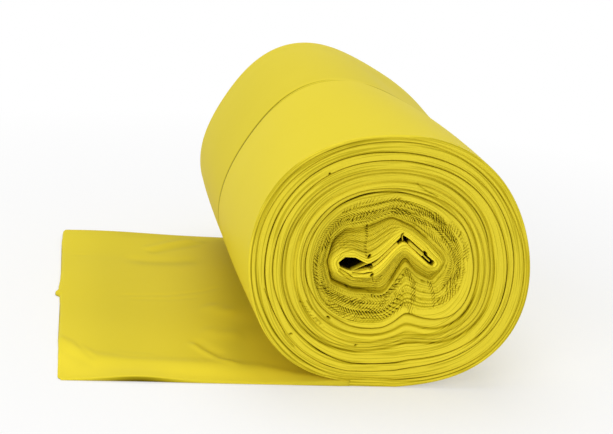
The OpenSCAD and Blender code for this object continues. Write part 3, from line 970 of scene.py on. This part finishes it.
def build_roll():
    """All the pieces that stand for the roll."""
    even, fine, finest = (places(times * HOLLOW_PLACES) for times in (2, 3, 4))
    front_end = (FRONT_GAPS, FRONT_SET_BACKS)
    bundle = even_rows(0, GATHERS_START, BUNDLE_ROWS, fine)
    front, shading = end_surface(0, bundle, fine, *front_end)
    pieces = [grid_mesh("front_end_bundle", front, **shading)]
    gathers = even_rows(GATHERS_START, GATHERS_END, GATHERS_ROWS, finest)
    gathered, shading = end_surface(0, gathers, finest, *front_end)
    pieces.append(grid_mesh("front_end_gathers", gathered, **shading))
    turns = gap_rows(FRONT_GAPS, even, GATHERS_END, *FRONT_STEPS)
    round_front, shading = end_surface(0, turns, even, *front_end)
    pieces.append(grid_mesh("front_end_turns", round_front, **shading))
    turns = np.concatenate([even_rows(0, BUNDLE_TURNS, FAR_BUNDLE_ROWS, even)[:-1],
                            gap_rows(FAR_GAPS, even, BUNDLE_TURNS, *FAR_STEPS)])
    far, shading = end_surface(1, turns, even, FAR_GAPS, FAR_SET_BACKS)
    pieces.append(grid_mesh("far_end", far, flip=True, **shading))
    pieces.append(outer_wrap("outer_wrap", even, round_front[-1], far[-1], HALF_FLANK_ROWS))
    pieces.append(hollow_wall("hollow_wall", front[0, ::3], far[0, ::2]))
    for number, (line, thickness, start) in enumerate(INNER_FOLDS, 1):
        pieces.append(inner_fold(f"inner_fold_{number}", line, thickness, start))
    pieces.append(loose_end("loose_end", TAIL_COLUMNS, TAIL_ROWS))
    return pieces


# Materials

FILM_COLOURS = ((0.79, 0.645, 0.034, 1), (0.84, 0.69, 0.044, 1))

# What the film's colour is multiplied by as the darkness of the painted shade grows
DARKENING = (
    (0.0, (1, 1, 1, 1)), (0.45, (0.62, 0.6, 0.28, 1)), (0.78, (0.3, 0.27, 0.06, 1)),
    (1.0, (0.02, 0.015, 0.004, 1)),
)

# How dark the painted shade along the fine film edges gets at most, and how high they stand, in
# metres
EDGES_MOST_DARK = 0.38
BUMP_HEIGHT = 0.0005

# The floor: its colour, between which distances in metres it turns from lit to plain white, and
# how much of that white it has there
FLOOR_COLOUR = (0.95, 0.95, 0.95, 1)
FLOOR_FADE = (0.16, 0.5)
FLOOR_WHITE = (0.45, 1.0)


class Recipe:
    """The nodes of a material or the world, with a method for each kind that comes up often."""

    def __init__(self, owner):
        owner.use_nodes = True
        self.nodes = owner.node_tree.nodes
        self.links = owner.node_tree.links

    def attribute(self, name):
        """A value that the meshes carry at each point."""
        node = self.nodes.new("ShaderNodeAttribute")
        node.attribute_name = name
        return node.outputs["Fac"]

    def calculate(self, operation, *values):
        """A calculation with numbers and with the results of other nodes."""
        node = self.nodes.new("ShaderNodeMath")
        node.operation = operation
        for socket, value in zip(node.inputs, values):
            if isinstance(value, (int, float)):
                socket.default_value = value
            else:
                self.links.new(value, socket)
        return node.outputs[0]

    def noise(self, vector, scale, detail, roughness=0.5):
        """A random value that changes smoothly from place to place."""
        node = self.nodes.new("ShaderNodeTexNoise")
        node.inputs["Scale"].default_value = scale
        node.inputs["Detail"].default_value = detail
        node.inputs["Roughness"].default_value = roughness
        self.links.new(vector, node.inputs["Vector"])
        return node.outputs["Fac"]

    def multiplied(self, first, second):
        """Two colours multiplied."""
        node = self.nodes.new("ShaderNodeMix")
        node.data_type = "RGBA"
        node.blend_type = "MULTIPLY"
        node.inputs["Factor"].default_value = 1.0
        self.links.new(first, node.inputs["A"])
        self.links.new(second, node.inputs["B"])
        return node.outputs["Result"]

    def seen_plainly(self):
        """1 for rays from the camera and for those mirrored or let through, 0 for scattered light."""
        ray = self.nodes.new("ShaderNodeLightPath").outputs
        mirrored = self.calculate("MAXIMUM", ray["Is Camera Ray"], ray["Is Glossy Ray"])
        return self.calculate("MAXIMUM", mirrored, ray["Is Transmission Ray"])


def film_material():
    """Satin polythene: yellow, with painted shade in the gaps and along the fine edges of its layers,
    and the meshes' painted light and shade.
    """
    material = bpy.data.materials.new("film")
    recipe = Recipe(material)
    nodes, links, calculate = recipe.nodes, recipe.links, recipe.calculate
    shader = nodes["Principled BSDF"]
    shader.inputs["Roughness"].default_value = 0.48
    shader.inputs["IOR"].default_value = 1.5
    shader.inputs["Specular IOR Level"].default_value = 0.02

    where = nodes.new("ShaderNodeTexCoord").outputs["Object"]
    parts = nodes.new("ShaderNodeSeparateXYZ")
    links.new(where, parts.inputs[0])
    cavity, layer, rough = (recipe.attribute(name) for name in ("cavity", "layer", "rough"))

    def along_rings(across, along):
        """A place whose first part changes across the rings and whose others run along them."""
        node = nodes.new("ShaderNodeCombineXYZ")
        links.new(calculate("MULTIPLY", layer, across), node.inputs["X"])
        links.new(calculate("MULTIPLY", parts.outputs["X"], along), node.inputs["Y"])
        links.new(calculate("MULTIPLY", parts.outputs["Z"], along), node.inputs["Z"])
        return node.outputs[0]

    edges = recipe.noise(along_rings(4.2, 16.0), 1.0, 2.5, 0.8)
    specks = recipe.noise(along_rings(3.2, 330.0), 1.0, 1.0)
    wound = calculate("MINIMUM", layer, 1.0)

    # The darkness, all painted shade: the meshes' shade, the film edges' fine lines on the ends, and
    # dark specks on the gathered turns
    edge_dark = calculate("MULTIPLY", wound, calculate("MULTIPLY_ADD", edges, -5.0, 2.45))
    edge_dark = calculate("MINIMUM", calculate("MAXIMUM", edge_dark, 0.0), EDGES_MOST_DARK)
    speck_dark = calculate("MULTIPLY", rough, calculate("MULTIPLY_ADD", specks, 1.6, -0.9))
    darkness = calculate("ADD", cavity, edge_dark)
    darkness = calculate("ADD", darkness, calculate("MAXIMUM", speck_dark, 0.0))
    dark = nodes.new("ShaderNodeValToRGB")
    stops = dark.color_ramp.elements
    while len(stops) < len(DARKENING):
        stops.new(1.0)
    for stop, (position, colour) in zip(stops, DARKENING):
        stop.position = position
        stop.color = colour
    links.new(darkness, dark.inputs["Fac"])

    # The colour: two yellows in soft patches, darkened by the painted shade and lightened or darkened
    # by the painted light and shade
    body = nodes.new("ShaderNodeMix")
    body.data_type = "RGBA"
    body.inputs["A"].default_value, body.inputs["B"].default_value = FILM_COLOURS
    links.new(recipe.noise(where, 12.0, 3.0), body.inputs["Factor"])
    tone = calculate("ADD", recipe.attribute("tone"), 1.0)
    darkened = recipe.multiplied(body.outputs["Result"], dark.outputs["Color"])
    links.new(recipe.multiplied(darkened, tone), shader.inputs["Base Color"])

    # The bump: the film edges, a fine unevenness all over, and the specks
    height = calculate("MULTIPLY", wound, calculate("MULTIPLY", edges, 0.9))
    uneven = calculate("MULTIPLY", recipe.noise(where, 240.0, 3.0), 0.16)
    height = calculate("ADD", height, uneven)
    height = calculate("ADD", height, calculate("MULTIPLY", rough, specks))
    bump = nodes.new("ShaderNodeBump")
    bump.inputs["Strength"].default_value = 0.7
    bump.inputs["Distance"].default_value = BUMP_HEIGHT
    links.new(height, bump.inputs["Height"])
    links.new(bump.outputs["Normal"], shader.inputs["Normal"])
    return material


def floor_material():
    """A pale floor: lit near the roll, so that it keeps the shadow, and plain white further off."""
    material = bpy.data.materials.new("floor")
    recipe = Recipe(material)
    nodes, links = recipe.nodes, recipe.links
    shader = nodes["Principled BSDF"]
    shader.inputs["Base Color"].default_value = FLOOR_COLOUR
    shader.inputs["Roughness"].default_value = 0.9
    shader.inputs["Specular IOR Level"].default_value = 0.0
    white = nodes.new("ShaderNodeEmission")
    white.inputs["Color"].default_value = (1, 1, 1, 1)
    distance = nodes.new("ShaderNodeVectorMath")
    distance.operation = "LENGTH"
    links.new(nodes.new("ShaderNodeTexCoord").outputs["Object"], distance.inputs[0])
    fade = nodes.new("ShaderNodeMapRange")
    fade.inputs["From Min"].default_value, fade.inputs["From Max"].default_value = FLOOR_FADE
    fade.inputs["To Min"].default_value, fade.inputs["To Max"].default_value = FLOOR_WHITE
    links.new(distance.outputs["Value"], fade.inputs["Value"])
    mix = nodes.new("ShaderNodeMixShader")
    plain = recipe.calculate("MULTIPLY", fade.outputs["Result"], recipe.seen_plainly())
    for source, socket in zip((plain, shader.outputs[0], white.outputs[0]), mix.inputs):
        links.new(source, socket)
    links.new(mix.outputs[0], nodes["Material Output"].inputs["Surface"])
    return material


# Camera, light and floor

# The camera's place in millimetres, its angles in degrees, and its lens and sensor in millimetres
CAMERA_PLACE = (-159.3, -755.3, 279.65)
CAMERA_AZIMUTH = -10.216
CAMERA_ELEVATION = 16.456
CAMERA_ROLL = 5.313
CAMERA_LENS = 83.41
SENSOR_WIDTH = 36.0

# The lamps: name, place and size in metres, and power in watts; where both point; and how strong
# the white room is
LAMPS = (("key", (-0.05, 0.2, 1.6), 1.5, 11.2), ("fill", (-1.0, -1.45, 0.7), 1.2, 11.9))
LAMP_AIM = (0, 0, 0.06)
WORLD_STRENGTH = 0.5

# The floor's half width and its height in metres, just under the roll
FLOOR_HALF = 3.0
FLOOR_HEIGHT = -0.0002


def place_camera():
    """The camera at the photo's viewing angle."""
    data = bpy.data.cameras.new("camera")
    data.lens = CAMERA_LENS
    data.sensor_width = SENSOR_WIDTH
    data.sensor_fit = "HORIZONTAL"
    data.clip_start = 0.01
    data.clip_end = 20
    camera = add_object("camera", data)
    azimuth, elevation = math.radians(CAMERA_AZIMUTH), math.radians(CAMERA_ELEVATION)
    back = Vector((math.sin(azimuth) * math.cos(elevation),
                   -math.cos(azimuth) * math.cos(elevation), math.sin(elevation)))
    right = (-back).cross(Vector((0, 0, 1))).normalized()
    up = right.cross(-back)
    roll = math.radians(CAMERA_ROLL)
    right, up = (right * math.cos(roll) + up * math.sin(roll),
                 up * math.cos(roll) - right * math.sin(roll))
    turn = Matrix((right, up, back)).transposed().to_4x4()
    camera.matrix_world = Matrix.Translation(Vector(CAMERA_PLACE) * MM) @ turn
    bpy.context.scene.camera = camera


def soft_lamp(name, place, size, power):
    """A round soft lamp that points at the roll."""
    data = bpy.data.lights.new(name, "AREA")
    data.shape = "DISK"
    data.size = size
    data.energy = power
    lamp = add_object(name, data)
    lamp.location = place
    aim = Vector(LAMP_AIM) - Vector(place)
    lamp.rotation_euler = aim.to_track_quat("-Z", "Y").to_euler()


def light_world(strength):
    """An even white room, plain white where it is seen."""
    world = bpy.data.worlds.new("studio")
    recipe = Recipe(world)
    background = recipe.nodes["Background"]
    background.inputs["Color"].default_value = (1, 1, 1, 1)
    level = recipe.calculate("MULTIPLY_ADD", recipe.seen_plainly(), 1 - strength, strength)
    recipe.links.new(level, background.inputs["Strength"])
    bpy.context.scene.world = world


def lay_floor():
    """The floor, a wide square that is only staging."""
    mesh = bpy.data.meshes.new("floor")
    corners = [(x * FLOOR_HALF, y * FLOOR_HALF, FLOOR_HEIGHT)
               for x, y in ((-1, -1), (1, -1), (1, 1), (-1, 1))]
    mesh.from_pydata(corners, [], [(0, 1, 2, 3)])
    mesh.materials.append(floor_material())
    add_object("floor", mesh)


place_camera()
film = film_material()
for piece in build_roll():
    piece.data.materials.append(film)
    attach(piece, "root")
    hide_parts("bag_roll")

lay_floor()
light_world(WORLD_STRENGTH)
for lamp in LAMPS:
    soft_lamp(*lamp)

bpy.context.scene.view_settings.view_transform = "Standard"
